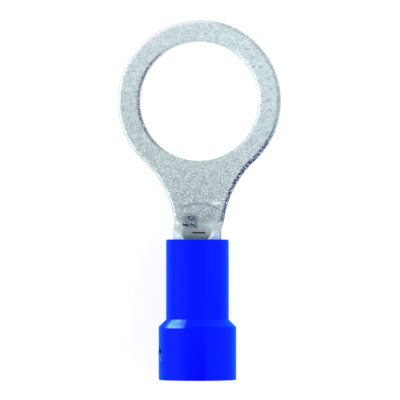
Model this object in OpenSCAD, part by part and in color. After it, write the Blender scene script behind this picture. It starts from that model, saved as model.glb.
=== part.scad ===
// Insulated ring terminal for a 10 mm stud.
// One stamped and rolled metal body and one moulded sleeve, all sizes in millimetres.
// The stud axis is +Z, the underside of the tongue is z = 0 and the wire leaves towards -Y.

/* [Ring tongue] */
// Diameter of the stud hole
stud_hole_d = 10.5; // [8.4:0.1:11.6]
// Outer diameter of the ring
ring_d = 14.4; // [13:0.1:18]
// Thickness of the sheet that the body is stamped from
stock_t = 0.85; // [0.7:0.05:1.1]
// Radius that the punch leaves on the upper edges
edge_roll = 0.3; // [0.1:0.05:0.4]
// Radius of the concave flanks between ring and barrel
flank_r = 8.7; // [6:0.1:10]

/* [Wire barrel] */
// Bore of the closed barrel
barrel_bore_d = 2.5; // [2.2:0.1:3.2]
// Stud axis to the line where the flat neck starts to curl up
curl_start = 10.2; // [9.8:0.1:10.6]
// Length over which the neck curls into an open channel
curl_l = 1.6; // [1.4:0.1:2.2]
// Angle from the floor to each cut edge where the channel is fully curled
wing_angle = 130; // [118:1:138]
// Radius of the ears' inner corner there, which leaves a narrow cut edge
ear_roll = 0.6; // [0.4:0.05:0.65]
// Length of the tapering gap that ends where the cut edges meet
seam_taper_l = 1.6; // [1.2:0.1:2.4]
// Length of the barrel behind the taper, where the seam is butted
closed_l = 5.3; // [4.4:0.1:6.2]
// Width of the hairline between the butted edges
seam_gap = 0.06; // [0.04:0.01:0.1]
// Chamfer round the barrel's wire end
barrel_chamfer = 0.15; // [0.05:0.05:0.3]

/* [Serrations] */
// Number of grooves round the inside of the barrel, which bite on the conductor
serration_count = 3; // [2:1:4]
// Distance from one groove to the next
serration_pitch = 1.1; // [0.8:0.1:1.2]
// Width of a groove at the bore
serration_w = 0.3; // [0.2:0.05:0.4]
// Depth of a groove
serration_depth = 0.12; // [0.06:0.02:0.2]

/* [Stop line] */
// Length of the line stamped across the channel floor
stop_line_l = 1.1; // [0.6:0.1:1.4]
// Width of the stamped line
stop_line_w = 0.12; // [0.08:0.01:0.2]
// Depth of the stamped line
stop_line_depth = 0.1; // [0.05:0.01:0.2]
// Start of the curl to the stamped line
stop_line_from_curl = 1.4; // [1.2:0.1:1.6]

/* [Insulating sleeve] */
// Wall of the sleeve where it grips the barrel
grip_wall = 0.65; // [0.5:0.05:0.9]
// Length of the grip from the front edge to the shoulder
grip_l = 7; // [6:0.1:8]
// How far the front edge reaches ahead of the closed barrel
front_lap = 1.2; // [0.6:0.1:1.4]
// Outer diameter of the wire entry
entry_d = 6.8; // [6.3:0.1:8]
// Wall of the wire entry
entry_wall = 0.75; // [0.55:0.05:0.85]
// Length of the wire entry behind the shoulder
entry_l = 4.65; // [3.5:0.05:6]
// Slope of the outer shoulder from the axis
shoulder_angle = 45; // [35:1:60]
// Slope of the inner guide cone from the axis
guide_angle = 40; // [30:1:50]
// Depth of the lip that the barrel's end seats against
lip_l = 0.3; // [0.2:0.05:0.5]
// Radius on the sleeve's rims
rim_r = 0.12; // [0.05:0.01:0.2]

/* [Gate mark] */
// Diameter of the dish that the mould's gate leaves
gate_d = 1.6; // [1:0.1:2]
// Depth of the dish
gate_depth = 0.12; // [0.05:0.01:0.2]
// Diameter of the broken stub in the dish
gate_stub_d = 0.8; // [0.5:0.1:0.9]
// Height of the broken stub above the wall
gate_stub_h = 0.06; // [0.02:0.01:0.15]
// Angle of the gate above the horizontal, on the left of the wire entry
gate_angle = 16; // [-60:1:60]

/* [Hidden] */

// Facets of large and of small round forms, and of each curled section
fn_large = 128;
fn_small = 32;
section_steps = 24;
roll_steps = 4;
curl_steps = 16;
taper_steps = 6;

// Overshoot of a cutting tool, and the lap of one solid of the body in the next
over = 0.5;
lap = 0.1;
// How far the arc of a rolled edge would rise past its face, which leaves a faint line there
roll_break = 0.004;
// Inset that keeps a lapping section just inside its neighbour
inset = 0.006;
// How deep the flanks cut into the ring's rim where they run into it
bite = 0.01;

ring_r = ring_d / 2;
barrel_bore_r = barrel_bore_d / 2;
barrel_r = barrel_bore_r + stock_t;
axis_z = barrel_r;

// The flanks are arcs that run into the ring and run out at the barrel's width
flank_x = barrel_r + flank_r;
flank_y = sqrt(pow(ring_r + flank_r - bite, 2) - pow(flank_x, 2));

// Stations along the wire's direction, measured from the stud axis
curl_end = curl_start + curl_l;
closed_start = curl_end + seam_taper_l;
barrel_end = closed_start + closed_l;
stop_line_y = curl_start + stop_line_from_curl;

// Half the angle of the closed barrel that metal fills
closed_angle = 180 - asin(seam_gap / 2 / (barrel_bore_r + stock_t / 2));

grip_r = barrel_r + grip_wall;
entry_r = entry_d / 2;
entry_bore_r = entry_r - entry_wall;
sleeve_front = closed_start - front_lap;
shoulder_l = (entry_r - grip_r) / tan(shoulder_angle);
sleeve_l = grip_l + shoulder_l + entry_l;
// Depth of the barrel's end, and of the guide cone, behind the sleeve's front edge
seat_depth = barrel_end - sleeve_front;
lip_r = barrel_bore_r;
guide_start = seat_depth + lip_l;
guide_end = guide_start + (entry_bore_r - lip_r) / tan(guide_angle);
gate_depth_in_sleeve = grip_l + shoulder_l + entry_l / 2;

// Half the neck's width at a distance from the stud axis
function half_width(s) =
    s < flank_y ? flank_x - sqrt(pow(flank_r, 2) - pow(flank_y - s, 2)) : barrel_r;

// Angle from the floor to the cut edge at a distance from the stud axis
function eased(u) = (1 - cos(180 * u)) / 2;
function edge_angle(s) =
    s <= curl_end
        ? max(wing_angle * eased((s - curl_start) / curl_l), 0.5)
        : wing_angle + (closed_angle - wing_angle) * (s - curl_end) / seam_taper_l;

// Radius of the inner corner at the cut edge there, which runs into the neck and the seam
function corner_roll(s) =
    s <= curl_end
        ? edge_roll + (ear_roll - edge_roll) * eased((s - curl_start) / curl_l)
        : ear_roll + (edge_roll - ear_roll) * (s - curl_end) / seam_taper_l;

// Outer radius of the bent sheet there, which keeps the neck's width seen from above
function bend_r(s) = half_width(s) / sin(min(edge_angle(s), 90));

// A point of the bent section, at a radius and an angle from the floor
function bent(r, a, centre_z) = [r * sin(a), centre_z - r * cos(a)];

// The rolled inner corner at one cut edge, from the inner face to the edge face
function rolled_corner(r_in, a, roll, centre_z, side) = [
    for (k = [0:roll_steps])
        let (
            turn = 90 * k / roll_steps,
            r = r_in + roll * (1 - cos(turn)),
            back = roll * (1 - sin(turn)) / r_in * 180 / PI
        )
        bent(r, side * (a - back), centre_z)
];

// Section of the bent sheet, thinned all round by an inset where it laps a neighbour
function bent_section(a, r_out, roll, thin) =
    let (
        step = a / section_steps * 2,
        r_in = (r_out - stock_t) / cos(step / 2) + thin,
        trim = thin / r_out * 180 / PI,
        edge = a - trim,
        inner = edge - roll / r_in * 180 / PI,
        left = rolled_corner(r_in, edge, roll, r_out, -1),
        right = rolled_corner(r_in, edge, roll, r_out, 1)
    )
    concat(
        [for (k = [0:section_steps]) bent(r_out - thin, edge * (2 * k / section_steps - 1), r_out)],
        [for (k = [roll_steps:-1:0]) right[k]],
        [for (k = [1:section_steps - 1]) bent(r_in, inner * (1 - 2 * k / section_steps), r_out)],
        [for (k = [0:roll_steps]) left[k]]
    );

// Faces across one end of the curled sheet, from the index of its first point: a strip
// between the outer and the inner face, and a fan at each rolled corner
function end_faces(first) =
    let (
        n = section_steps,
        inner = first + n + 1 + roll_steps
    )
    concat(
        [for (k = [0:n - 1]) [first + n - k - 1, first + n - k, inner + k, inner + k + 1]],
        [[for (j = [first + n:inner]) j]],
        [concat([for (j = [inner + n:inner + n + roll_steps]) j], [first])]
    );

// A punch whose shoulder rolls the upper edge of the sheet over
module rolled_punch(r) {
    rotate_extrude($fn = fn_large) {
        translate([0, -over])
            square([r, stock_t + 2 * over]);
        difference() {
            translate([r - inset, stock_t - edge_roll + roll_break])
                square([edge_roll + inset, edge_roll + over]);
            translate([r + edge_roll, stock_t - edge_roll + roll_break])
                circle(edge_roll, $fn = fn_small);
        }
    }
}

// The round blank of the ring, with its rolled outer edge
module ring_blank() {
    rotate_extrude($fn = fn_large)
        difference() {
            square([ring_r, stock_t]);
            difference() {
                translate([ring_r - edge_roll, stock_t - edge_roll + roll_break])
                    square([edge_roll + over, edge_roll + over]);
                translate([ring_r - edge_roll, stock_t - edge_roll + roll_break])
                    circle(edge_roll, $fn = fn_small);
            }
        }
}

// Ring and flat neck, punched from the sheet
module tongue() {
    difference() {
        union() {
            ring_blank();
            linear_extrude(stock_t)
                polygon([
                    [0, 0],
                    [-curl_start * flank_x / flank_y, -curl_start],
                    [curl_start * flank_x / flank_y, -curl_start]
                ]);
        }
        rolled_punch(stud_hole_d / 2);
        for (side = [-1, 1])
            translate([side * flank_x, -flank_y, 0])
                rolled_punch(flank_r);
    }
}

// The sheet as it curls from the flat neck into the barrel
module curled_neck() {
    stations = concat(
        [curl_start - lap],
        [for (k = [0:curl_steps]) curl_start + curl_l * k / curl_steps],
        [for (k = [1:taper_steps]) curl_end + seam_taper_l * k / taper_steps],
        [closed_start + lap]
    );
    sections = [
        for (s = stations)
            let (
                at = min(max(s, curl_start), closed_start),
                lapped = s <= curl_start || s >= closed_start
            )
            bent_section(edge_angle(at), bend_r(at), corner_roll(at), lapped ? inset : 0)
    ];
    count = len(sections[0]);
    last = len(stations) - 1;
    points = [
        for (i = [0:last])
            for (p = sections[i])
                [p[0], -stations[i], p[1]]
    ];
    sides = [
        for (i = [0:last - 1])
            for (j = [0:count - 1])
                let (
                    a = i * count + j,
                    b = i * count + (j + 1) % count
                )
                each [[a, b + count, b], [a, a + count, b + count]]
    ];
    first_end = end_faces(0);
    last_end = [for (face = end_faces(last * count)) [for (j = [len(face) - 1:-1:0]) face[j]]];
    polyhedron(points, concat(sides, first_end, last_end), convexity = 10);
}

// Half section of the closed barrel, with its length running up from the front
module barrel_profile() {
    difference() {
        polygon([
            [barrel_bore_r, 0],
            [barrel_r, 0],
            [barrel_r, closed_l],
            [barrel_bore_r + barrel_chamfer, closed_l],
            [barrel_bore_r, closed_l - barrel_chamfer]
        ]);
        for (i = [0:serration_count - 1])
            translate([barrel_bore_r, closed_l / 2 + (i - (serration_count - 1) / 2) * serration_pitch])
                polygon([
                    [-over, -serration_w / 2],
                    [0, -serration_w / 2],
                    [serration_depth, -serration_w / 4],
                    [serration_depth, serration_w / 4],
                    [0, serration_w / 2],
                    [-over, serration_w / 2]
                ]);
    }
}

// The closed barrel with its butted seam on top
module barrel() {
    difference() {
        translate([0, -closed_start, axis_z])
            rotate([90, 0, 0])
                rotate_extrude($fn = fn_large)
                    barrel_profile();
        translate([-seam_gap / 2, -barrel_end - over, axis_z])
            cube([seam_gap, closed_l + 2 * over, barrel_r + over]);
    }
}

// The line stamped across the channel's floor ahead of the sleeve
module stop_line() {
    translate([-stop_line_l / 2, -stop_line_y - stop_line_w / 2, stock_t - stop_line_depth])
        cube([stop_line_l, stop_line_w, stock_t]);
}

module terminal_body() {
    color([0.78, 0.81, 0.82]) {
        tongue();
        difference() {
            curled_neck();
            stop_line();
        }
        barrel();
    }
}

// A right-angled corner of a profile less its rounding
module corner_trim(at, to_x, to_y) {
    translate(at)
        difference() {
            translate([to_x > 0 ? -rim_r : -over, to_y > 0 ? -rim_r : -over])
                square(rim_r + over);
            translate([-to_x * rim_r, -to_y * rim_r])
                circle(rim_r, $fn = fn_small);
        }
}

// Half section of the sleeve, with its length running up from the front edge
module sleeve_profile() {
    difference() {
        polygon([
            [barrel_r, 0],
            [grip_r, 0],
            [grip_r, grip_l],
            [entry_r, grip_l + shoulder_l],
            [entry_r, sleeve_l],
            [entry_bore_r, sleeve_l],
            [entry_bore_r, guide_end],
            [lip_r, guide_start],
            [lip_r, seat_depth],
            [barrel_r, seat_depth]
        ]);
        corner_trim([grip_r, 0], 1, -1);
        corner_trim([entry_r, sleeve_l], 1, 1);
        corner_trim([entry_bore_r, sleeve_l], -1, 1);
    }
}

// What the mould's gate leaves on the wire entry: a dish round a broken stub
module gate_place() {
    translate([0, -sleeve_front - gate_depth_in_sleeve, axis_z])
        rotate([0, gate_angle - 90, 0])
            children();
}

module insulating_sleeve() {
    color([0.04, 0.14, 1]) {
        difference() {
            translate([0, -sleeve_front, axis_z])
                rotate([90, 0, 0])
                    rotate_extrude($fn = fn_large)
                        sleeve_profile();
            gate_place()
                translate([0, 0, entry_r - gate_depth])
                    cylinder(h = entry_r, d = gate_d, $fn = fn_small);
        }
        gate_place()
            translate([0, 0, entry_bore_r + entry_wall / 2])
                cylinder(h = entry_wall / 2 + gate_stub_h, d = gate_stub_d, $fn = fn_small);
    }
}

terminal_body();
insulating_sleeve();
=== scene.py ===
"""Insulated ring terminal: a tinned copper ring tongue rolled into a wire barrel, in a blue
moulded sleeve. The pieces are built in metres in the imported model's own frame: the stud axis
is +Z, the underside of the tongue is z = 0 and the wire leaves towards -Y."""
from bisect import bisect_left
from math import asin, atan2, cos, hypot, pi, radians, sin, sqrt, tan

import bmesh
import bpy
from mathutils import Matrix, Vector, noise


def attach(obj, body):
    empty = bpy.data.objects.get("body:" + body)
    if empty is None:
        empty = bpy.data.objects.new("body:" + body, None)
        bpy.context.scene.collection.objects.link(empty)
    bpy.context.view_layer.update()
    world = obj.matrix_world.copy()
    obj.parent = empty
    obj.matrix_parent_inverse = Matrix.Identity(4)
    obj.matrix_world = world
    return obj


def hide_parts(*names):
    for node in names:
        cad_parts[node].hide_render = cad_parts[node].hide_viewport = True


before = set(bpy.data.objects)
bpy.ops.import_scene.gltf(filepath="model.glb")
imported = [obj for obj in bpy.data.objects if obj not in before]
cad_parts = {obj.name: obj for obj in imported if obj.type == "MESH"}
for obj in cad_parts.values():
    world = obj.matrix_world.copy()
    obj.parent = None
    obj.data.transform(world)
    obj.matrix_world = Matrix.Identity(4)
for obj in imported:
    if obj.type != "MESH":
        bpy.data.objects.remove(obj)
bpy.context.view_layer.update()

bl_info = {
    "name": "Insulated Ring Terminal",
    "version": (1, 0, 0),
    "blender": (4, 5, 0),
    "location": "View3D > Sidebar > Terminal",
    "description": "Builds an insulated ring terminal and the table it lies on",
    "category": "Add Mesh",
}

MM = 0.001
BODY_NODE, SLEEVE_NODE = "terminal_body", "insulating_sleeve"

# Marks on the body: (across, along) from the stud axis, in millimetres. The scratch is given
# along and across itself, in axes turned by its cosine and sine.
SMUDGE = (-0.75, -10.55)
POLISH = (1.55, -8.98)
DASH, DASH_SLOPE = (-1.14, -10.92), 0.3
SPOT = (-0.87, -10.2)
SCRATCH, SCRATCH_COS, SCRATCH_SIN = (5.54, -9.44), 0.84, 0.54

# The arc of the former's heel: from the stud axis to its middle, and how much it bows
HEEL_AT, HEEL_BOW = 9.04, 0.17

# Steps of the body's mesh, and how near a section may come to one that a mark needs
ACROSS = 72
ROLL_STEPS = 8
WALL_STEPS = 5
TOP_STEPS = 16
UNDER_STEPS = 8
COLUMN_STEP = 0.12
NECK_FROM = 7.4
EARS_L = 1.0
NEAREST = 0.02

# How the punch and the former leave the body, in millimetres or as a share of the sheet
TEAR_DEPTH = 0.02
TEAR_FROM, TEAR_OVER = 0.5, 0.2
WORKED_FROM, WORKED_L = 6.2, 3.6
STOP_SLOPE = 0.03
BODY_CREASE = radians(40)
NEARLY_ZERO = 1e-9

# Steps of the sleeve's mesh
SLEEVE_TURNS = 320
RIM_STEPS = 5
SLEEVE_CREASE = radians(35)

# The sleeve's fit on the barrel, the edges of the gate's scar and where the painted highlight lies
# on the shoulder
SEAT_CLEARANCE = 0.004
DISH_SLOPE, STUB_SLOPE = 0.12, 0.08
HIGHLIGHT_ANGLE, HIGHLIGHT_SPREAD = radians(56.0), 0.42

# The stage, in metres
VIEW_MIDDLE = Vector((0.12, -8.72, 1.0)) * MM
LAMP_DISTANCE = 0.5
TABLE_SIZE = 0.9
TABLE_GAP = 0.01 * MM
TABLE_PAPER, TABLE_GLOW = 0.32, 0.76
ROOM_LIGHT = 0.62
FLAG_SIZE, FLAG_AT = (0.5, 0.24), Vector((0.22, -0.06, 0.16))
SENSOR_W, LENS = 36.0, 327.7
CAMERA_DISTANCE, CAMERA_REACH = 0.32, 5.0
CAMERA_SIDE, CAMERA_DOWN = radians(5.5), radians(1.19)


# Sizes and colours

def length(name, mm, text):
    """A length that the user can change, given in millimetres and kept in metres."""
    return bpy.props.FloatProperty(
        name=name, description=text, default=mm * MM, min=0.0, unit="LENGTH",
        subtype="DISTANCE", precision=6)


def angle(name, degrees, text):
    """An angle that the user can change, given in degrees and kept in radians."""
    return bpy.props.FloatProperty(
        name=name, description=text, default=radians(degrees), unit="ROTATION", subtype="ANGLE")


def tint(name, colour, text):
    """A linear colour that the user can change."""
    return bpy.props.FloatVectorProperty(
        name=name, description=text, default=colour, size=3, min=0.0, max=1.0, subtype="COLOR")


def share(name, value, text):
    """A plain number from 0 to 1 that the user can change."""
    return bpy.props.FloatProperty(
        name=name, description=text, default=value, min=0.0, max=1.0, subtype="FACTOR")


class TerminalBodySizes(bpy.types.PropertyGroup):
    """Sizes of the stamped and rolled metal body"""
    hole_d: length("Stud hole", 10.5, "Diameter of the stud hole")
    ring_d: length("Ring", 14.4, "Outer diameter of the ring")
    stock_t: length("Sheet", 0.85, "Thickness of the sheet")
    edge_roll: length("Rolled edge", 0.3, "Radius that the punch leaves on the upper edges")
    flank_r: length("Flank", 8.7, "Radius of the concave flanks")
    bore_d: length("Barrel bore", 2.5, "Bore of the closed barrel")
    curl_start: length("Curl start", 10.2, "Stud axis to where the neck starts to curl")
    curl_l: length("Curl", 1.6, "Length over which the neck curls into a channel")
    wing_angle: angle("Wing angle", 130.0, "Floor to cut edge where the channel is curled")
    ear_roll: length("Ear roll", 0.6, "Radius of the ears' inner corner there")
    taper_l: length("Seam taper", 1.6, "Length over which the cut edges close")
    closed_l: length("Closed barrel", 5.3, "Length of the barrel with a butted seam")
    seam_gap: length("Seam gap", 0.06, "Hairline between the butted edges")
    chamfer: length("Barrel chamfer", 0.15, "Chamfer round the barrel's wire end")
    serration_pitch: length("Serration pitch", 1.1, "Distance between grooves in the bore")
    serration_w: length("Serration width", 0.3, "Width of a groove at the bore")
    serration_depth: length("Serration depth", 0.12, "Depth of a groove")
    stop_line_l: length("Stop line", 1.1, "Length of the line stamped across the channel")
    stop_line_w: length("Stop line width", 0.12, "Width of the stamped line")
    stop_line_depth: length("Stop line depth", 0.1, "Depth of the stamped line")
    stop_line_at: length("Stop line place", 11.6, "Stud axis to the stamped line")


class SleeveSizes(bpy.types.PropertyGroup):
    """Sizes of the moulded sleeve"""
    front: length("Front edge", 12.2, "Stud axis to the sleeve's front edge")
    grip_r: length("Grip radius", 2.75, "Outer radius where the sleeve grips the barrel")
    grip_l: length("Grip", 7.0, "Length of the grip")
    shoulder_l: length("Shoulder", 0.65, "Length of the sloping shoulder")
    entry_r: length("Entry radius", 3.4, "Outer radius of the wire entry")
    entry_wall: length("Entry wall", 0.75, "Wall of the wire entry")
    entry_l: length("Entry", 4.65, "Length of the wire entry")
    seat_depth: length("Seat", 6.5, "Front edge to the step that the barrel's end meets")
    lip_l: length("Lip", 0.3, "Depth of the lip behind the barrel's end")
    guide_angle: angle("Guide angle", 40.0, "Slope of the inner guide cone")
    rim_r: length("Rim", 0.12, "Radius on the sleeve's rims")
    gate_d: length("Gate dish", 1.6, "Diameter of the dish that the mould's gate leaves")
    gate_depth: length("Gate depth", 0.12, "Depth of the dish")
    stub_d: length("Gate stub", 0.8, "Diameter of the broken stub in the dish")
    stub_h: length("Stub height", 0.06, "Height of the broken stub above the wall")
    gate_angle: angle("Gate angle", 16.0, "Angle of the gate above the horizontal, on the left")


class TerminalFinish(bpy.types.PropertyGroup):
    """Colours and finishes of both pieces"""
    tin: tint("Tin", (0.30, 0.37, 0.375), "Matte tin plating")
    tin_pale: tint("Pale grain", (0.78, 0.89, 0.90), "Bright grains of the plating")
    tin_cool: tint("Cool grain", (0.70, 0.84, 0.97), "Bluish cast of the plating on the right")
    # Also gives the painted highlight on the cut edges of the ears
    tin_spark: tint("Spark", (0.93, 0.98, 0.97), "The brightest grains of the plating")
    # Painted highlight on the rolled edge round the left of the tip
    tin_highlight: tint("Bright edge", (0.97, 0.91, 0.98), "Rolled edge that the punch left bright")
    # Also gives the painted shade where the channel runs into the sleeve
    tin_dark: tint("Dark grain", (0.07, 0.085, 0.19), "Dull grains of the plating")
    # Painted shade for the dark reflections in rolled edges that face right; also the colour of
    # the smudge in the channel
    edge_shade_and_smudge: tint("Oxide", (0.03, 0.04, 0.19), "Bluish oxide on the rolled edges")
    tin_roughness: share("Tin roughness", 0.5, "Roughness of the plating")
    # Also painted shade in the groove of the stamped line
    soot_and_shade: tint("Tool mark", (0.025, 0.022, 0.03), "Dark residue in scratches and stamped lines")
    vinyl: tint("Vinyl", (0.0012, 0.0075, 0.97), "Blue moulded vinyl")
    # Painted shade along the top of the sleeve, and the colour of the flow marks
    vinyl_flow_and_shade: tint("Deep vinyl", (0.0, 0.0004, 0.72), "Vinyl along the thicker top")
    # Painted highlight on the shoulder and in the lower part of the gate's dish
    vinyl_highlight: tint("Scuffed vinyl", (0.2, 0.6, 1.0), "Vinyl rubbed or pulled pale")
    # Painted shade in the upper part of the gate's dish
    vinyl_dish_shade: tint("Torn vinyl", (0.0, 0.001, 0.2), "Vinyl in the scar of the gate")
    vinyl_roughness: share("Vinyl roughness", 0.28, "Roughness of the thin gloss on the vinyl")
    table: tint("Table", (0.8, 0.8, 0.8), "White table under the part")
    card: tint("Card", (0.42, 0.47, 0.54), "Grey card beside the part")


# Shader maths

class Value:
    """A socket in a node tree, whose operators add Math nodes."""

    def __init__(self, net, socket):
        self.net, self.socket = net, socket

    def _math(self, operation, *values):
        return self.net.add("ShaderNodeMath", {"operation": operation}, values)["Value"]

    def __add__(self, other):
        return self._math("ADD", self, other)

    def __radd__(self, other):
        return self._math("ADD", other, self)

    def __sub__(self, other):
        return self._math("SUBTRACT", self, other)

    def __rsub__(self, other):
        return self._math("SUBTRACT", other, self)

    def __mul__(self, other):
        return self._math("MULTIPLY", self, other)

    def __rmul__(self, other):
        return self._math("MULTIPLY", other, self)

    def least(self, other):
        return self._math("MINIMUM", self, other)

    def most(self, other):
        return self._math("MAXIMUM", self, other)

    def step(self, low, high):
        """0 below low, 1 above high and smooth between them; falls where high is below low."""
        if high < low:
            return 1 - self.step(high, low)
        return self.net.add(
            "ShaderNodeMapRange", {"interpolation_type": "SMOOTHSTEP"},
            {"Value": self, "From Min": low, "From Max": high})["Result"]


class Net:
    """The node tree of a material or world, built one node at a time."""

    def __init__(self, tree):
        self.tree = tree
        tree.nodes.clear()

    def add(self, kind, settings=None, sockets=()):
        """Adds a node: its settings first, then the values or links of its sockets."""
        node = self.tree.nodes.new(kind)
        for key, value in (settings or {}).items():
            setattr(node, key, value)
        pairs = sockets.items() if isinstance(sockets, dict) else enumerate(sockets)
        for key, value in pairs:
            socket = node.inputs[key] if isinstance(key, int) else self._named(node, key)
            if isinstance(value, Value):
                self.tree.links.new(value.socket, socket)
            else:
                socket.default_value = value
        return {s.name: Value(self, s) for s in reversed(node.outputs) if s.enabled}

    @staticmethod
    def _named(node, name):
        return next(s for s in node.inputs if s.name == name and s.enabled)

    def blend(self, factor, first, second):
        """The first colour where factor is 0, the second where it is 1."""
        sockets = {"Factor": factor, "A": opaque(first), "B": opaque(second)}
        return self.add("ShaderNodeMix", {"data_type": "RGBA"}, sockets)["Result"]

    def shade(self, factor, first, second):
        """The first shader where factor is 0, the second where it is 1."""
        return self.add("ShaderNodeMixShader", None, (factor, first, second))["Shader"]

    def place(self):
        """Points of the piece in the row's frame, in millimetres."""
        metres = self.add("ShaderNodeTexCoord")["Object"]
        return self.add(
            "ShaderNodeVectorMath", {"operation": "SCALE"},
            {"Vector": metres, "Scale": 1 / MM})["Vector"]

    def grain(self, place, scale, detail=2.0, roughness=0.5, stretch=None):
        """Fractal noise, with scale in features per millimetre."""
        if stretch:
            place = self.add(
                "ShaderNodeVectorMath", {"operation": "MULTIPLY"}, (place, stretch))["Vector"]
        sockets = {"Vector": place, "Scale": scale, "Detail": detail, "Roughness": roughness}
        return self.add("ShaderNodeTexNoise", None, sockets)["Fac"]

    def painted(self, name):
        """A value that the mesh carries at its points."""
        return self.add("ShaderNodeAttribute", {"attribute_name": name})["Fac"]

    def bump(self, height, distance, strength):
        """A relief: its height is a share of the distance, which is in metres."""
        sockets = {"Height": height, "Distance": distance, "Strength": strength}
        return self.add("ShaderNodeBump", None, sockets)["Normal"]

    def finish_with(self, kind, shader):
        self.add(kind, None, {"Surface": shader})


def opaque(colour):
    """A plain colour with the alpha that a colour socket takes."""
    return colour if isinstance(colour, Value) else (*colour, 1.0)


def new_material(name):
    material = bpy.data.materials.new(name)
    material.use_nodes = True
    return material, Net(material.node_tree)


# Materials

def across_band(distance, half, soft):
    """1 within half of the middle of a band, falling to 0 over soft."""
    return (distance * distance).step((half + soft) ** 2, half ** 2)


def patch(x, y, middle, half_x, half_y, soft):
    """1 on a small patch or a short line round its middle, falling to 0 over soft."""
    return across_band(x - middle[0], half_x, soft) * across_band(y - middle[1], half_y, soft)


def rolled_edges(x, y, wall):
    """(rolled, painted shade, painted highlight) on the edges that the punch has rolled over."""
    rolled = across_band(wall - 0.5, 0.28, 0.15)
    lip = across_band(wall - 0.42, 0.1, 0.1)
    outer = (x * x + y * y).step(34.0, 40.0)
    # Painted shade: dark bluish specks outside along the right and on the left of the hole, for
    # the dark reflections in edges that face right
    edge_shade_and_smudge = (lip * (1.0 - outer) * x.step(-2.6, -4.6) * 0.7
             + rolled * outer * x.step(0.4, 1.6) * (0.25 + y.step(-1.0, -5.0) * 0.7))
    # Painted highlight on the rolled edge round the left of the tip, where a low light from the
    # upper left catches it
    bright = rolled * outer * (y * 0.9 - x * 0.42).step(4.6, 6.9)
    return rolled, edge_shade_and_smudge, bright


def former_marks(x, y):
    """(arc that the former's heel leaves across the neck, its burnished right-hand end)"""
    heel = y + HEEL_AT + x * x * HEEL_BOW
    heel_line = across_band(heel, 0.03, 0.08) * x.step(1.9, 1.7) * x.step(-1.6, -1.3)
    return heel_line, patch(x, y, POLISH, 0.32, 0.08, 0.12)


def dark_marks(x, y, stop_line):
    """A dash, a scratch and a spot, where dark deposit lies, and the stamped line, painted dark as
    the shade in its groove.
    """
    scratch_along = x * SCRATCH_COS - y * SCRATCH_SIN
    scratch_across = x * SCRATCH_SIN + y * SCRATCH_COS
    scratch = patch(scratch_along, scratch_across, SCRATCH, 0.3, 0.02, 0.06)
    dash = patch(x, y + (x - DASH[0]) * DASH_SLOPE, DASH, 0.2, 0.06, 0.07)
    spot = patch(x, y, SPOT, 0.03, 0.03, 0.09)
    return (dash + scratch * 0.8 + spot + stop_line).least(1.0)


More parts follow.
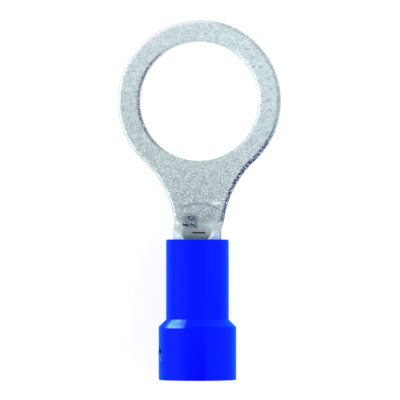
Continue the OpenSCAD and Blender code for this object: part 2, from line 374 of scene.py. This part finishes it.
def tinned_copper(finish):
    """Matte tin over a stamped copper blank: pale and dull grains, painted shade and a painted
    highlight on the rolled edges, painted light towards the tip, a burnished channel with painted
    shade where it enters the sleeve, a painted highlight on the cut edges, dark deposit in the
    tool marks and painted shade in the stamped line."""
    material, net = new_material("tinned_copper")
    place = net.place()
    axes = net.add("ShaderNodeSeparateXYZ", None, (place,))
    x, y = axes["X"], axes["Y"]
    cut, worked = net.painted("cut"), net.painted("worked")
    rolled, edge_shade_and_smudge, bright = rolled_edges(x, y, net.painted("wall"))
    heel_line, polish = former_marks(x, y)
    residue_and_groove_shade = dark_marks(x, y, net.painted("stop_line"))

    fine = net.grain(place, 7.0, roughness=0.6)
    coarse = net.grain(place, 2.2)
    cloud = net.grain(place, 0.45)
    pale = net.grain(place, 8.0, detail=1.0, roughness=0.4).step(0.59, 0.69)
    dull = net.grain(place, 4.2, roughness=0.6).step(0.42, 0.30)
    specks = net.grain(place, 6.0, roughness=0.6).step(0.62, 0.48)

    # Painted light: the tin is lighter towards the tip, where more light falls; it is also a
    # little lighter towards the right, and bluer along the right
    painted_light = y * 0.021 + x * 0.005 + 0.06
    grains = (fine * 0.7 + coarse * 0.3).step(0.2, 0.85)
    colour = net.blend(grains + painted_light, finish.tin, finish.tin_pale)
    colour = net.blend(x.step(-1.0, 12.0) * 0.35, colour, finish.tin_cool)
    colour = net.blend(dull * (0.2 + x.step(-2.0, 7.0) * 0.3), colour, finish.tin_dark)
    colour = net.blend(specks * edge_shade_and_smudge, colour, finish.edge_shade_and_smudge)
    colour = net.blend(bright * 0.55, colour, finish.tin_highlight)

    # Rolling burnishes the channel, most up its sides; painted shade darkens it where it runs into
    # the sleeve, whose front edge shades it
    curled = y.step(-9.9, -10.6)
    off_middle = x * x
    burnish = (y.step(-10.2, -11.0) * (0.45 + off_middle.step(0.1, 1.6) * 0.5)
               * off_middle.step(5.0, 3.4))
    spark = pale * (0.45 + y.step(-3.0, -7.0) * 0.35) * (1.0 - curled * 0.7)
    mouth_shade = y.step(-11.6, -12.3) * off_middle.step(2.4, 1.2) * 0.6
    colour = net.blend(burnish, colour, finish.tin_pale)
    colour = net.blend(spark, colour, finish.tin_spark)
    colour = net.blend(worked * 0.06 + mouth_shade, colour, finish.tin_dark)

    # Marks of the tools lie on top
    smudge = patch(x, y, SMUDGE, 0.1, 0.1, 0.7)
    colour = net.blend(smudge * (0.1 + specks * 0.6), colour, finish.edge_shade_and_smudge)
    colour = net.blend(heel_line * 0.35, colour, finish.tin_dark)
    # The cut edges of the ears are painted near white, a painted highlight for the light that they
    # catch
    colour = net.blend(polish * 0.6 + cut * 0.9, colour, finish.tin_spark)
    # Dark deposit in the tool marks, and painted shade in the groove of the stamped line
    colour = net.blend(residue_and_groove_shade, colour, finish.soot_and_shade)

    roughness = (finish.tin_roughness + (fine - 0.5) * 0.25 + cloud * 0.08 - pale * 0.1
                 + curled * 0.25 - cut * 0.2 - polish * 0.15 - rolled * 0.15 + residue_and_groove_shade * 0.3)
    relief = fine + coarse * 0.8 + pale * 0.4 - dull * 0.5 - residue_and_groove_shade * 1.5 - heel_line * 0.6
    shader = net.add("ShaderNodeBsdfPrincipled", None, {
        "Base Color": colour, "Roughness": roughness, "Metallic": 1.0 - residue_and_groove_shade * 0.8,
        "Normal": net.bump(relief, 0.02 * MM, 0.9)})["BSDF"]
    net.finish_with("ShaderNodeOutputMaterial", shader)
    return material


def blue_vinyl(finish):
    """Moulded vinyl: satin, with the mould's faint texture, a painted highlight on the shoulder,
    and torn at the gate, with painted shade and light in the gate's dish."""
    material, net = new_material("blue_vinyl")
    place = net.place()
    axes = net.add("ShaderNodeSeparateXYZ", None, (place,))
    x, y = axes["X"], axes["Y"]
    torn, scuffed = net.painted("torn"), net.painted("scuffed")
    skin = net.grain(place, 9.0)
    flow = net.grain(place, 0.5, stretch=(1.0, 0.25, 1.0))
    tear = net.grain(place, 5.0, detail=3.0, roughness=0.65)
    streak = net.grain(place, 1.6, stretch=(1.0, 0.5, 1.0)).step(0.4, 0.6)

    # Painted shade: the vinyl is darker along the top, most towards the wire, for the dark
    # reflection that lies along it; flow marks darken it at random too
    top = across_band(x - 0.15, 0.6, 0.5) * (0.4 + y.step(-19.0, -24.0) * 0.6)
    colour = net.blend(top * 0.7 + flow.step(0.35, 0.7) * 0.3, finish.vinyl, finish.vinyl_flow_and_shade)
    # Painted highlight on the shoulder and on the lower part of the gate's dish
    colour = net.blend(scuffed * (0.5 + streak * 0.5), colour, finish.vinyl_highlight)
    # Painted shade in the upper part of the gate's dish, where the vinyl is also torn
    colour = net.blend(torn * tear.step(0.35, 0.6), colour, finish.vinyl_dish_shade)
    roughness = 0.55 + (skin - 0.5) * 0.08 + (flow - 0.5) * 0.1 + torn * 0.25
    relief = net.bump(skin * 0.25 + flow * 1.5 + torn * tear * 4.0, 0.01 * MM, 0.5)

    # The colour lies deep in the vinyl, so its skin adds only a thin gloss and a blue bloom
    shader = net.add("ShaderNodeBsdfPrincipled", None, {
        "Base Color": colour, "Roughness": roughness, "IOR": 1.0, "Normal": relief,
        "Coat Weight": 0.05, "Coat Roughness": finish.vinyl_roughness, "Coat IOR": 1.5,
        "Sheen Weight": 0.9, "Sheen Roughness": 0.35,
        "Sheen Tint": (0.03, 0.6, 1.0, 1.0)})["BSDF"]
    net.finish_with("ShaderNodeOutputMaterial", shader)
    return material


def seen_directly(net):
    """1 for a ray that shows the background: from the camera, a gloss or clear plastic."""
    path = net.add("ShaderNodeLightPath")
    seen = path["Is Camera Ray"].most(path["Is Glossy Ray"])
    return seen.most(path["Is Transmission Ray"])


def dark_card(finish):
    """The matt card that stands beside the part, out of sight, for its dark edges."""
    material, net = new_material("dark_card")
    card = net.add("ShaderNodeBsdfDiffuse", None, {"Color": opaque(finish.card)})["BSDF"]
    net.finish_with("ShaderNodeOutputMaterial", card)
    return material


def white_table(finish):
    """A white table: plain paper to the light, and close to white where it shows."""
    material, net = new_material("white_table")
    paper = net.add("ShaderNodeBsdfDiffuse", None, {"Color": opaque(finish.table)})["BSDF"]
    grey = opaque((TABLE_PAPER,) * 3)
    shadow = net.add("ShaderNodeBsdfDiffuse", None, {"Color": grey})["BSDF"]
    glow = net.add("ShaderNodeEmission", None, {"Strength": TABLE_GLOW})["Emission"]
    shown = net.add("ShaderNodeAddShader", None, (shadow, glow))["Shader"]
    net.finish_with("ShaderNodeOutputMaterial", net.shade(seen_directly(net), paper, shown))
    return material


# Forms

def clamp(value):
    """The value, kept from 0 to 1."""
    return min(max(value, 0.0), 1.0)


def spread(start, end, count):
    """Evenly spaced numbers from start to end, both included."""
    return [start + (end - start) * k / count for k in range(count + 1)]


class BodyForm:
    """Outline and bend of the metal body, in millimetres."""

    def __init__(self, sizes):
        def mm(name):
            return getattr(sizes, name) / MM
        self.hole_r, self.ring_r = mm("hole_d") / 2, mm("ring_d") / 2
        self.stock_t, self.roll = mm("stock_t"), mm("edge_roll")
        self.bore_r = mm("bore_d") / 2
        self.barrel_r = self.bore_r + self.stock_t
        self.flank_r = mm("flank_r")
        self.flank_x = self.barrel_r + self.flank_r
        self.flank_y = sqrt((self.ring_r + self.flank_r) ** 2 - self.flank_x ** 2)
        self.curl_start, self.curl_l = mm("curl_start"), mm("curl_l")
        self.curl_end = self.curl_start + self.curl_l
        self.taper_l, self.closed_l = mm("taper_l"), mm("closed_l")
        self.closed_start = self.curl_end + self.taper_l
        self.barrel_end = self.closed_start + self.closed_l
        self.wing_angle, self.ear_roll = sizes.wing_angle, mm("ear_roll")
        self.closed_angle = pi - asin(mm("seam_gap") / 2 / (self.bore_r + self.stock_t / 2))
        self.chamfer = mm("chamfer")
        self.serration_pitch = mm("serration_pitch")
        self.serration_w, self.serration_depth = mm("serration_w"), mm("serration_depth")
        self.stop_l, self.stop_w = mm("stop_line_l"), mm("stop_line_w")
        self.stop_depth, self.stop_at = mm("stop_line_depth"), mm("stop_line_at")
        self.grooves = [
            self.closed_start + self.closed_l / 2 + i * self.serration_pitch
            for i in (-1, 0, 1)]

    def width(self, s, inset=0.0):
        """Half the neck's width at a distance from the stud axis, less an inset."""
        if s >= self.flank_y:
            return self.barrel_r - inset
        return self.flank_x - sqrt((self.flank_r + inset) ** 2 - (self.flank_y - s) ** 2)

    def edge_angle(self, s):
        """Angle from the floor of the curl to its cut edge."""
        if s <= self.curl_start:
            return 0.0
        if s <= self.curl_end:
            eased = (1 - cos(pi * (s - self.curl_start) / self.curl_l)) / 2
            return self.wing_angle * eased
        closing = min((s - self.curl_end) / self.taper_l, 1.0)
        return self.wing_angle + (self.closed_angle - self.wing_angle) * closing

    def corner_roll(self, s):
        """Radius of the rolled inner corner at the cut edge."""
        if s <= self.curl_end:
            u = (1 - cos(pi * max(s - self.curl_start, 0.0) / self.curl_l)) / 2
        else:
            u = max(1 - (s - self.curl_end) / self.taper_l, 0.0)
        return self.roll + (self.ear_roll - self.roll) * u

    def bore_relief(self, s):
        """How far a serration or the end chamfer widens the bore there."""
        slope = self.serration_w / 4
        depth = max(s - (self.barrel_end - self.chamfer), 0.0)
        for middle in self.grooves:
            inside = (self.serration_w / 2 - abs(s - middle)) / slope
            depth = max(depth, self.serration_depth * clamp(inside))
        return depth

    def stop_line(self, x, s):
        """1 in the line stamped across the floor of the channel, 0 beside it."""
        along = (self.stop_l / 2 - abs(x)) / STOP_SLOPE
        across = (self.stop_w / 2 + STOP_SLOPE / 2 - abs(s - self.stop_at)) / STOP_SLOPE
        return clamp(min(along, across))


def shear_noise(x, y, z):
    """Uneven depth of the torn part of a sheared wall, from 0 to 1."""
    return 0.5 + 0.5 * noise.noise(Vector((x * 2.3, y * 2.3, z * 5.0)))


class Skin:
    """A mesh that grows by runs of points, joined side by side into strips of quads."""

    def __init__(self, layers):
        self.mesh = bmesh.new()
        self.layers = {name: self.mesh.verts.layers.float.new(name) for name in layers}

    def point(self, x, y, z, **values):
        """A new point, in millimetres, with what the mesh carries there."""
        vert = self.mesh.verts.new((x * MM, y * MM, z * MM))
        for name, value in values.items():
            vert[self.layers[name]] = value
        return vert

    def join(self, first, second):
        """A strip of quads between two runs of points."""
        for k in range(len(first) - 1):
            self.mesh.faces.new((first[k], first[k + 1], second[k + 1], second[k]))

    def cap(self, points):
        self.mesh.faces.new(points)

    def piece(self, name, crease):
        """The finished mesh object, smooth but for the edges sharper than crease."""
        bmesh.ops.recalc_face_normals(self.mesh, faces=self.mesh.faces[:])
        mesh = bpy.data.meshes.new(name)
        self.mesh.to_mesh(mesh)
        self.mesh.free()
        mesh.shade_smooth()
        mesh.set_sharp_from_angle(angle=crease)
        piece = bpy.data.objects.new(name, mesh)
        bpy.context.scene.collection.objects.link(piece)
        return piece


def edge_profile(form, roll):
    """(inset from the edge, depth below the face, how far it is sheared wall) down a rolled
    edge and the sheared wall under it."""
    turns = spread(0.0, pi / 2, ROLL_STEPS)
    rolled = [(roll * (1 - sin(t)), roll * (1 - cos(t)), 0.75 - 0.5 * cos(t)) for t in turns]
    sheared = [(0.0, depth, 1.0) for depth in spread(roll, form.stock_t, WALL_STEPS)[1:]]
    return rolled + sheared


def torn(depth, form, x, y):
    """How far the wall has torn in from its nominal face, which the burnished top has not."""
    reach = clamp((depth - TEAR_FROM * form.stock_t) / (TEAR_OVER * form.stock_t))
    return TEAR_DEPTH * reach * shear_noise(x, y, depth)


def worked_at(y):
    """How far the former has worked the sheet there: 0 on the ring, 1 in the curl."""
    return clamp((-y - WORKED_FROM) / WORKED_L)


def ring_columns(form):
    """(x, y) of the outline with its way inwards (u, v), counter-clockwise from the right of
    the neck to its left, both ends left out."""
    middle_x, middle_y = form.flank_x, -form.flank_y
    start = atan2(form.flank_y - NECK_FROM, form.width(NECK_FROM) - form.flank_x)
    touch = atan2(form.flank_y, -form.flank_x)
    flank_steps = int(form.flank_r * (start - touch) / COLUMN_STEP)
    flank = [(middle_x + form.flank_r * cos(a), middle_y + form.flank_r * sin(a),
              cos(a), sin(a)) for a in spread(start, touch, flank_steps)[1:]]
    first = atan2(flank[-1][1], flank[-1][0])
    ring_steps = int(form.ring_r * (pi - 2 * first) / COLUMN_STEP)
    ring = [(form.ring_r * cos(a), form.ring_r * sin(a), -cos(a), -sin(a))
            for a in spread(first, pi - first, ring_steps)[1:-1]]
    mirrored = [(-x, y, -u, v) for x, y, u, v in reversed(flank)]
    return flank + ring + mirrored


def neck_section(skin, form, s):
    """Floor, right edge, face and left edge of the neck at a distance from the stud axis."""
    a, w, roll = form.edge_angle(s), form.width(s), form.corner_roll(s)
    r_out = w / sin(min(a, pi / 2)) if a else 0.0
    r_in = r_out - form.stock_t
    relief = form.bore_relief(s)
    ears = clamp((s - form.curl_start) / form.curl_l)
    worked = worked_at(-s)

    def at(x, depth, **values):
        """A point of the section, laid out flat: its place across and depth below the face."""
        if not a:
            return skin.point(x, -s, form.stock_t - depth, worked=worked, **values)
        r = r_in + depth
        if depth > form.stock_t - NEARLY_ZERO:
            turn = a * x / w
        else:
            turn = (a - (w - abs(x)) / r_in) * (1 if x > 0 else -1)
        return skin.point(r * sin(turn), -s, r_out - r * cos(turn), worked=worked, **values)

    def face(u):
        """A point of the face, u from -1 to 1 between the rolled edges."""
        inner = form.width(s, roll)
        if not a:
            return skin.point(inner * u, -s, form.stock_t, worked=worked)
        turn = (a - (w - inner) / r_in) * u
        stop = form.stop_line(r_in * sin(turn), s) if abs(turn) < pi / 2 else 0.0
        r = r_in + relief + form.stop_depth * stop
        return skin.point(r * sin(turn), -s, r_out - r * cos(turn),
                          worked=worked, stop_line=stop)

    floor = [at(w * u, form.stock_t) for u in spread(-1.0, 1.0, ACROSS)]
    top = [face(u) for u in spread(-1.0, 1.0, ACROSS)]
    edges = []
    for side, last, first in ((1, floor[-1], top[-1]), (-1, floor[0], top[0])):
        run = [first]
        for inset, depth, shear in edge_profile(form, roll)[1:-1]:
            x = w if inset < NEARLY_ZERO else form.width(s, inset)
            x -= torn(depth, form, side * w, s) * (1 - ears)
            run.append(at(side * x, max(depth, relief), wall=shear * (1 - ears),
                          cut=ears * max(2 * shear - 1, 0.0)))
        edges.append(run + [last])
    return floor, edges[0], top, edges[1]


def neck_stations(form):
    """Distances from the stud axis at which the neck and barrel have a section."""
    ears_end = form.curl_end + EARS_L
    stretches = ((NECK_FROM, form.curl_start, 15), (form.curl_start, form.curl_end, 30),
                 (form.curl_end, ears_end, 14), (ears_end, form.closed_start, 12),
                 (form.closed_start, form.barrel_end, 20))
    stations = [s for start, end, count in stretches for s in spread(start, end, count)]
    half = form.stop_w / 2
    marks = [form.stop_at + side * (half + step) for side in (-1, 1)
             for step in (-STOP_SLOPE / 2, STOP_SLOPE / 2)]
    for groove in form.grooves:
        marks += [groove + form.serration_w * k for k in (-0.5, -0.25, 0.25, 0.5)]
    marks.append(form.barrel_end - form.chamfer)
    marks.sort()

    def crowded(s):
        k = bisect_left(marks, s)
        return any(abs(m - s) < NEAREST for m in marks[max(k - 1, 0):k + 1])
    return sorted({round(s, 5) for s in stations if not crowded(s)} | {round(m, 5) for m in marks})


def ring_edge(skin, form, x, y, u, v):
    """The ring's rolled edge and sheared wall at a point of its outline, from top to foot."""
    edge = []
    for inset, depth, shear in edge_profile(form, form.roll):
        inset += torn(depth, form, x, y) if inset < NEARLY_ZERO else 0.0
        worked = worked_at(y) if depth < NEARLY_ZERO else 0.0
        edge.append(skin.point(x + u * inset, y + v * inset, form.stock_t - depth,
                               wall=shear, worked=worked))
    return edge


def ring_run(skin, form, low_end, high_end):
    """Underside, hole wall, rolled lip and face, from the outline's foot to its top."""
    low, high = [v.co / MM for v in (low_end, high_end)]
    around = atan2(low.y, low.x)
    cos_a, sin_a = cos(around), sin(around)
    lip = []
    for inset, depth, shear in reversed(edge_profile(form, form.roll)):
        r = form.hole_r + inset
        if inset < NEARLY_ZERO:
            r += torn(depth, form, r * cos_a, r * sin_a)
        lip.append((r, depth, shear))
    foot, edge = lip[0][0], lip[-1][0]
    run = [low_end]
    for u in spread(0.0, 1.0, UNDER_STEPS)[1:-1]:
        run.append(skin.point(*[p + (q - p) * u for p, q in
                                ((low.x, foot * cos_a), (low.y, foot * sin_a), (low.z, 0.0))]))
    run += [skin.point(r * cos_a, r * sin_a, form.stock_t - depth, wall=shear)
            for r, depth, shear in lip]
    for u in spread(0.0, 1.0, TOP_STEPS)[1:-1]:
        x = edge * cos_a + (high.x - edge * cos_a) * u
        y = edge * sin_a + (high.y - edge * sin_a) * u
        run.append(skin.point(x, y, form.stock_t, worked=worked_at(y)))
    return run + [high_end]


def build_body(sizes):
    """The stamped blank, rolled into the barrel, as one closed skin."""
    form = BodyForm(sizes)
    skin = Skin(("wall", "cut", "worked", "stop_line"))
    stations = neck_stations(form)
    sections = [neck_section(skin, form, s) for s in stations]
    for a, b in zip(sections, sections[1:]):
        for first, second in zip(a, b):
            skin.join(first, second)
    floor, right, top, left = sections[-1]
    skin.join(floor, top)
    skin.cap(right)
    skin.cap(left)

    # The ring goes on from the neck's first section, whose ends already have an edge
    floor, right, top, left = sections[0]
    columns = [(ring_run(skin, form, low, high), None) for low, high in zip(floor, top)]
    columns[0] = (columns[0][0], left)
    columns[-1] = (columns[-1][0], right)
    for column in ring_columns(form):
        edge = ring_edge(skin, form, *column)
        columns.append((ring_run(skin, form, edge[-1], edge[0]), edge))
    count = len(columns)
    for k in range(count):
        (run, edge), (next_run, next_edge) = columns[k], columns[(k + 1) % count]
        skin.join(run, next_run)
        if k >= ACROSS:
            skin.join(edge, next_edge)
    return skin.piece(BODY_NODE + "_tinned", BODY_CREASE)


def rounded_profile(corners):
    """A closed profile from (radius, length, rounding, step of the side after it)."""
    points = []
    count = len(corners)
    for k, (r, s, rounding, step) in enumerate(corners):
        here = Vector((r, s))
        before = (Vector(corners[k - 1][:2]) - here).normalized()
        after = (Vector(corners[(k + 1) % count][:2]) - here).normalized()
        if rounding:
            half = before.angle(after) / 2
            back = rounding / tan(half)
            middle = here + (before + after).normalized() * (rounding / sin(half))
            start, end = here + before * back - middle, here + after * back - middle
            arc = [middle + start.slerp(end, u) * rounding for u in spread(0.0, 1.0, RIM_STEPS)]
        else:
            arc = [here]
        points.append((arc, step))
    profile = []
    for k, (arc, step) in enumerate(points):
        target = points[(k + 1) % count][0][0]
        steps = max(int((target - arc[-1]).length / step), 1)
        profile += arc
        profile += [arc[-1].lerp(target, u) for u in spread(0.0, 1.0, steps)[1:-1]]
    return profile


class SleeveForm:
    """Profile and marks of the moulded sleeve, in millimetres back from its front edge."""

    def __init__(self, sizes, body):
        def mm(name):
            return getattr(sizes, name) / MM
        self.front, self.axis_z = mm("front"), body.barrel_r
        self.grip_r, self.grip_l, self.entry_r = mm("grip_r"), mm("grip_l"), mm("entry_r")
        self.shoulder = self.grip_l + mm("shoulder_l")
        self.end = self.shoulder + mm("entry_l")
        self.bore = self.entry_r - mm("entry_wall")
        self.lip_r, self.seat_r = body.bore_r, body.barrel_r + SEAT_CLEARANCE
        self.seat_depth = mm("seat_depth")
        self.guide_start = self.seat_depth + mm("lip_l")
        self.guide_end = self.guide_start + (self.bore - self.lip_r) / tan(sizes.guide_angle)
        self.rim = mm("rim_r")
        self.gate_s, self.gate_r = self.shoulder + mm("entry_l") / 2, mm("gate_d") / 2
        self.gate_turn, self.highlight_turn = pi - sizes.gate_angle, pi - HIGHLIGHT_ANGLE
        self.stub_r, self.dish, self.stub = mm("stub_d") / 2, mm("gate_depth"), mm("stub_h")

    def profile(self):
        """The sleeve's half section, from the front edge out, back and in again."""
        return rounded_profile([
            (self.grip_r, 0.0, self.rim, 0.25),
            (self.grip_r, self.grip_l, 0.08, 0.1),
            (self.entry_r, self.shoulder, 0.1, 0.07),
            (self.entry_r, self.end, self.rim, 0.2),
            (self.bore, self.end, self.rim, 0.25),
            (self.bore, self.guide_end, 0.1, 0.15),
            (self.lip_r, self.guide_start, 0.03, 0.1),
            (self.lip_r, self.seat_depth, 0.03, 0.2),
            (self.seat_r, self.seat_depth, 0.0, 0.4),
            (self.seat_r, 0.0, 0.04, 0.2),
        ])

    def gate(self, r, s, turn):
        """(rise of the surface, how torn and shaded, and how much painted light) at a point."""
        if r < (self.grip_r + self.entry_r) / 2 or r < (self.bore + self.entry_r) / 2:
            return 0.0, 0.0, 0.0
        off = hypot(r * (turn - self.gate_turn), s - self.gate_s)
        if off > self.gate_r:
            return 0.0, 0.0, 0.0
        hollow = min((self.gate_r - off) / DISH_SLOPE, 1.0)
        # The stub in the dish broke off unevenly
        ragged = noise.noise(Vector((s * 3.1, turn * 9.0, 0.7)))
        broken = clamp((self.stub_r * (1 + 0.25 * ragged) - off) / STUB_SLOPE)
        rise = (-self.dish * hollow * (1 - broken)
                + self.stub * broken * (0.55 + 0.45 * ragged))
        # Towards the wire the dish takes painted light instead of painted shade
        lit = clamp((s - self.gate_s + 0.15) / 0.2)
        return rise, hollow * (1.0 - lit), hollow * lit * 0.3

    def scuffed(self, r, s, turn):
        """How much painted highlight lies on the shoulder, at its upper left."""
        if r <= self.grip_r - 0.01 or not self.grip_l < s < self.shoulder + 0.05:
            return 0.0
        along = 1.0 - min(abs(turn - self.highlight_turn) / HIGHLIGHT_SPREAD, 1.0)
        return along * along * (3 - 2 * along)


def build_sleeve(sizes, body_sizes):
    """The moulded sleeve, turned round the barrel's axis, with the scar of its gate."""
    form = SleeveForm(sizes, BodyForm(body_sizes))
    profile = form.profile()
    skin = Skin(("torn", "scuffed"))
    rings = []
    for k in range(SLEEVE_TURNS):
        turn = 2 * pi * k / SLEEVE_TURNS
        ring = []
        for r, s in profile:
            rise, tear, lit = form.gate(r, s, turn)
            ring.append(skin.point(
                (r + rise) * cos(turn), -form.front - s, form.axis_z + (r + rise) * sin(turn),
                torn=tear, scuffed=lit + form.scuffed(r, s, turn)))
        rings.append(ring + ring[:1])
    for k in range(SLEEVE_TURNS):
        skin.join(rings[k], rings[(k + 1) % SLEEVE_TURNS])
    return skin.piece(SLEEVE_NODE + "_moulded", SLEEVE_CREASE)


# Placing

def dress(piece, node, material):
    """Gives a piece its finish and lets it stand for its node."""
    piece.data.materials.append(material)
    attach(piece, "root")
    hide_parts(node)


class RingTerminalSettings(bpy.types.PropertyGroup):
    """Everything that the ring terminal is built from"""
    body: bpy.props.PointerProperty(
        type=TerminalBodySizes, name="Body", description="Sizes of the metal body")
    sleeve: bpy.props.PointerProperty(
        type=SleeveSizes, name="Sleeve", description="Sizes of the sleeve")
    finish: bpy.props.PointerProperty(
        type=TerminalFinish, name="Finish", description="Colours and finishes")


class RING_TERMINAL_OT_body(bpy.types.Operator):
    """Build the tinned copper body"""
    bl_idname = "ring_terminal.body"
    bl_label = "Terminal Body"

    def execute(self, context):
        chosen = context.scene.ring_terminal
        dress(build_body(chosen.body), BODY_NODE, tinned_copper(chosen.finish))
        return {"FINISHED"}


class RING_TERMINAL_OT_sleeve(bpy.types.Operator):
    """Build the moulded sleeve"""
    bl_idname = "ring_terminal.sleeve"
    bl_label = "Insulating Sleeve"

    def execute(self, context):
        chosen = context.scene.ring_terminal
        dress(build_sleeve(chosen.sleeve, chosen.body), SLEEVE_NODE,
              blue_vinyl(chosen.finish))
        return {"FINISHED"}


def aim(thing, place, target, up=Vector((0.0, 1.0, 0.0))):
    """Stands a lamp or camera at a place, looking at the target."""
    back = (place - target).normalized()
    right = up.cross(back).normalized()
    axes = Matrix((right, back.cross(right), back)).transposed()
    thing.matrix_world = Matrix.Translation(place) @ axes.to_4x4()


def add_lamp(name, way, size, power):
    """A square soft lamp, out along a direction from the middle of the view."""
    lamp = bpy.data.lights.new(name, "AREA")
    lamp.shape, lamp.size, lamp.energy = "SQUARE", size, power
    thing = bpy.data.objects.new(name, lamp)
    bpy.context.scene.collection.objects.link(thing)
    aim(thing, VIEW_MIDDLE + Vector(way).normalized() * LAMP_DISTANCE, VIEW_MIDDLE)
    return thing


def add_sheet(name, width, height, material):
    """A flat stage sheet in its own XY plane."""
    mesh = bmesh.new()
    corners = [(x * width / 2, y * height / 2, 0.0)
               for x, y in ((-1, -1), (1, -1), (1, 1), (-1, 1))]
    mesh.faces.new([mesh.verts.new(c) for c in corners])
    data = bpy.data.meshes.new(name)
    mesh.to_mesh(data)
    mesh.free()
    data.materials.append(material)
    thing = bpy.data.objects.new(name, data)
    bpy.context.scene.collection.objects.link(thing)
    return thing


class RING_TERMINAL_OT_stage(bpy.types.Operator):
    """Lay the table and set up the light and the camera"""
    bl_idname = "ring_terminal.stage"
    bl_label = "Table, Light and Camera"

    def execute(self, context):
        scene = context.scene
        chosen = scene.ring_terminal
        self.lay_table(chosen)
        key = add_lamp("window_left", (-0.6, 0.74, 0.3), size=0.3, power=2.0)
        side = add_lamp("panel_left", (-0.95, -0.05, 0.35), size=0.5, power=1.1)
        fill = add_lamp("panel_right", (0.8, -0.1, 0.6), size=0.3, power=2.0)
        key.visible_glossy = fill.visible_glossy = side.visible_diffuse = False
        flag = add_sheet("dark_flag", *FLAG_SIZE, dark_card(chosen.finish))
        aim(flag, FLAG_AT, VIEW_MIDDLE, Vector((0.0, 0.0, 1.0)))
        flag.visible_camera = flag.visible_diffuse = flag.visible_shadow = False
        self.light_world(scene)
        self.set_camera(scene)
        scene.view_settings.view_transform = "Standard"
        return {"FINISHED"}

    @staticmethod
    def lay_table(chosen):
        """The table touches the ring's tip and the lower front corner of the wire entry."""
        sleeve = chosen.sleeve
        tip = Vector((0.0, chosen.body.ring_d / 2, 0.0))
        axis_z = chosen.body.bore_d / 2 + chosen.body.stock_t
        foot = Vector((0.0, -sleeve.front - sleeve.grip_l - sleeve.shoulder_l,
                       axis_z - sleeve.entry_r))
        along = (tip - foot).normalized()
        table = add_sheet("table", TABLE_SIZE, TABLE_SIZE, white_table(chosen.finish))
        across = Vector((1.0, 0.0, 0.0))
        up = across.cross(along)
        axes = Matrix((across, along, up)).transposed()
        table.matrix_world = Matrix.Translation(foot - up * TABLE_GAP) @ axes.to_4x4()

    @staticmethod
    def light_world(scene):
        """A plain white room, dimmer to the part than where it is seen."""
        world = bpy.data.worlds.new("white_room")
        world.use_nodes = True
        scene.world = world
        net = Net(world.node_tree)
        white = (1.0, 1.0, 1.0, 1.0)
        dim, shown = [
            net.add("ShaderNodeBackground", None, {"Color": white, "Strength": strength})
            for strength in (ROOM_LIGHT, 1.0)]
        mixed = net.shade(seen_directly(net), dim["Background"], shown["Background"])
        net.finish_with("ShaderNodeOutputWorld", mixed)

    @staticmethod
    def set_camera(scene):
        """Looks almost straight down, from a little to the right and towards the wire."""
        camera = bpy.data.cameras.new("camera")
        camera.sensor_width, camera.lens = SENSOR_W, LENS
        camera.clip_end = CAMERA_REACH
        thing = bpy.data.objects.new("camera", camera)
        scene.collection.objects.link(thing)
        level = cos(CAMERA_DOWN)
        way = Vector((sin(CAMERA_SIDE) * level, -sin(CAMERA_DOWN), cos(CAMERA_SIDE) * level))
        aim(thing, VIEW_MIDDLE + way * CAMERA_DISTANCE, VIEW_MIDDLE)
        scene.camera = thing


class VIEW3D_PT_ring_terminal(bpy.types.Panel):
    """Sizes and steps of the ring terminal"""
    bl_label = "Ring Terminal"
    bl_idname = "VIEW3D_PT_ring_terminal"
    bl_space_type = "VIEW_3D"
    bl_region_type = "UI"
    bl_category = "Terminal"

    def draw(self, context):
        chosen = context.scene.ring_terminal
        for title, group in (("Body", chosen.body), ("Sleeve", chosen.sleeve),
                             ("Finish", chosen.finish)):
            box = self.layout.box()
            box.label(text=title)
            for name in group.__annotations__:
                box.prop(group, name)
        for step in STEPS:
            self.layout.operator(step)


STEPS = ("ring_terminal.body", "ring_terminal.sleeve", "ring_terminal.stage")
CLASSES = (
    TerminalBodySizes, SleeveSizes, TerminalFinish, RingTerminalSettings,
    RING_TERMINAL_OT_body, RING_TERMINAL_OT_sleeve, RING_TERMINAL_OT_stage,
    VIEW3D_PT_ring_terminal,
)


def register():
    for cls in CLASSES:
        bpy.utils.register_class(cls)
    bpy.types.Scene.ring_terminal = bpy.props.PointerProperty(type=RingTerminalSettings)


def unregister():
    del bpy.types.Scene.ring_terminal
    for cls in reversed(CLASSES):
        bpy.utils.unregister_class(cls)


def main():
    register()
    for step in STEPS:
        group, name = step.split(".")
        getattr(getattr(bpy.ops, group), name)()


if __name__ == "__main__":
    main()
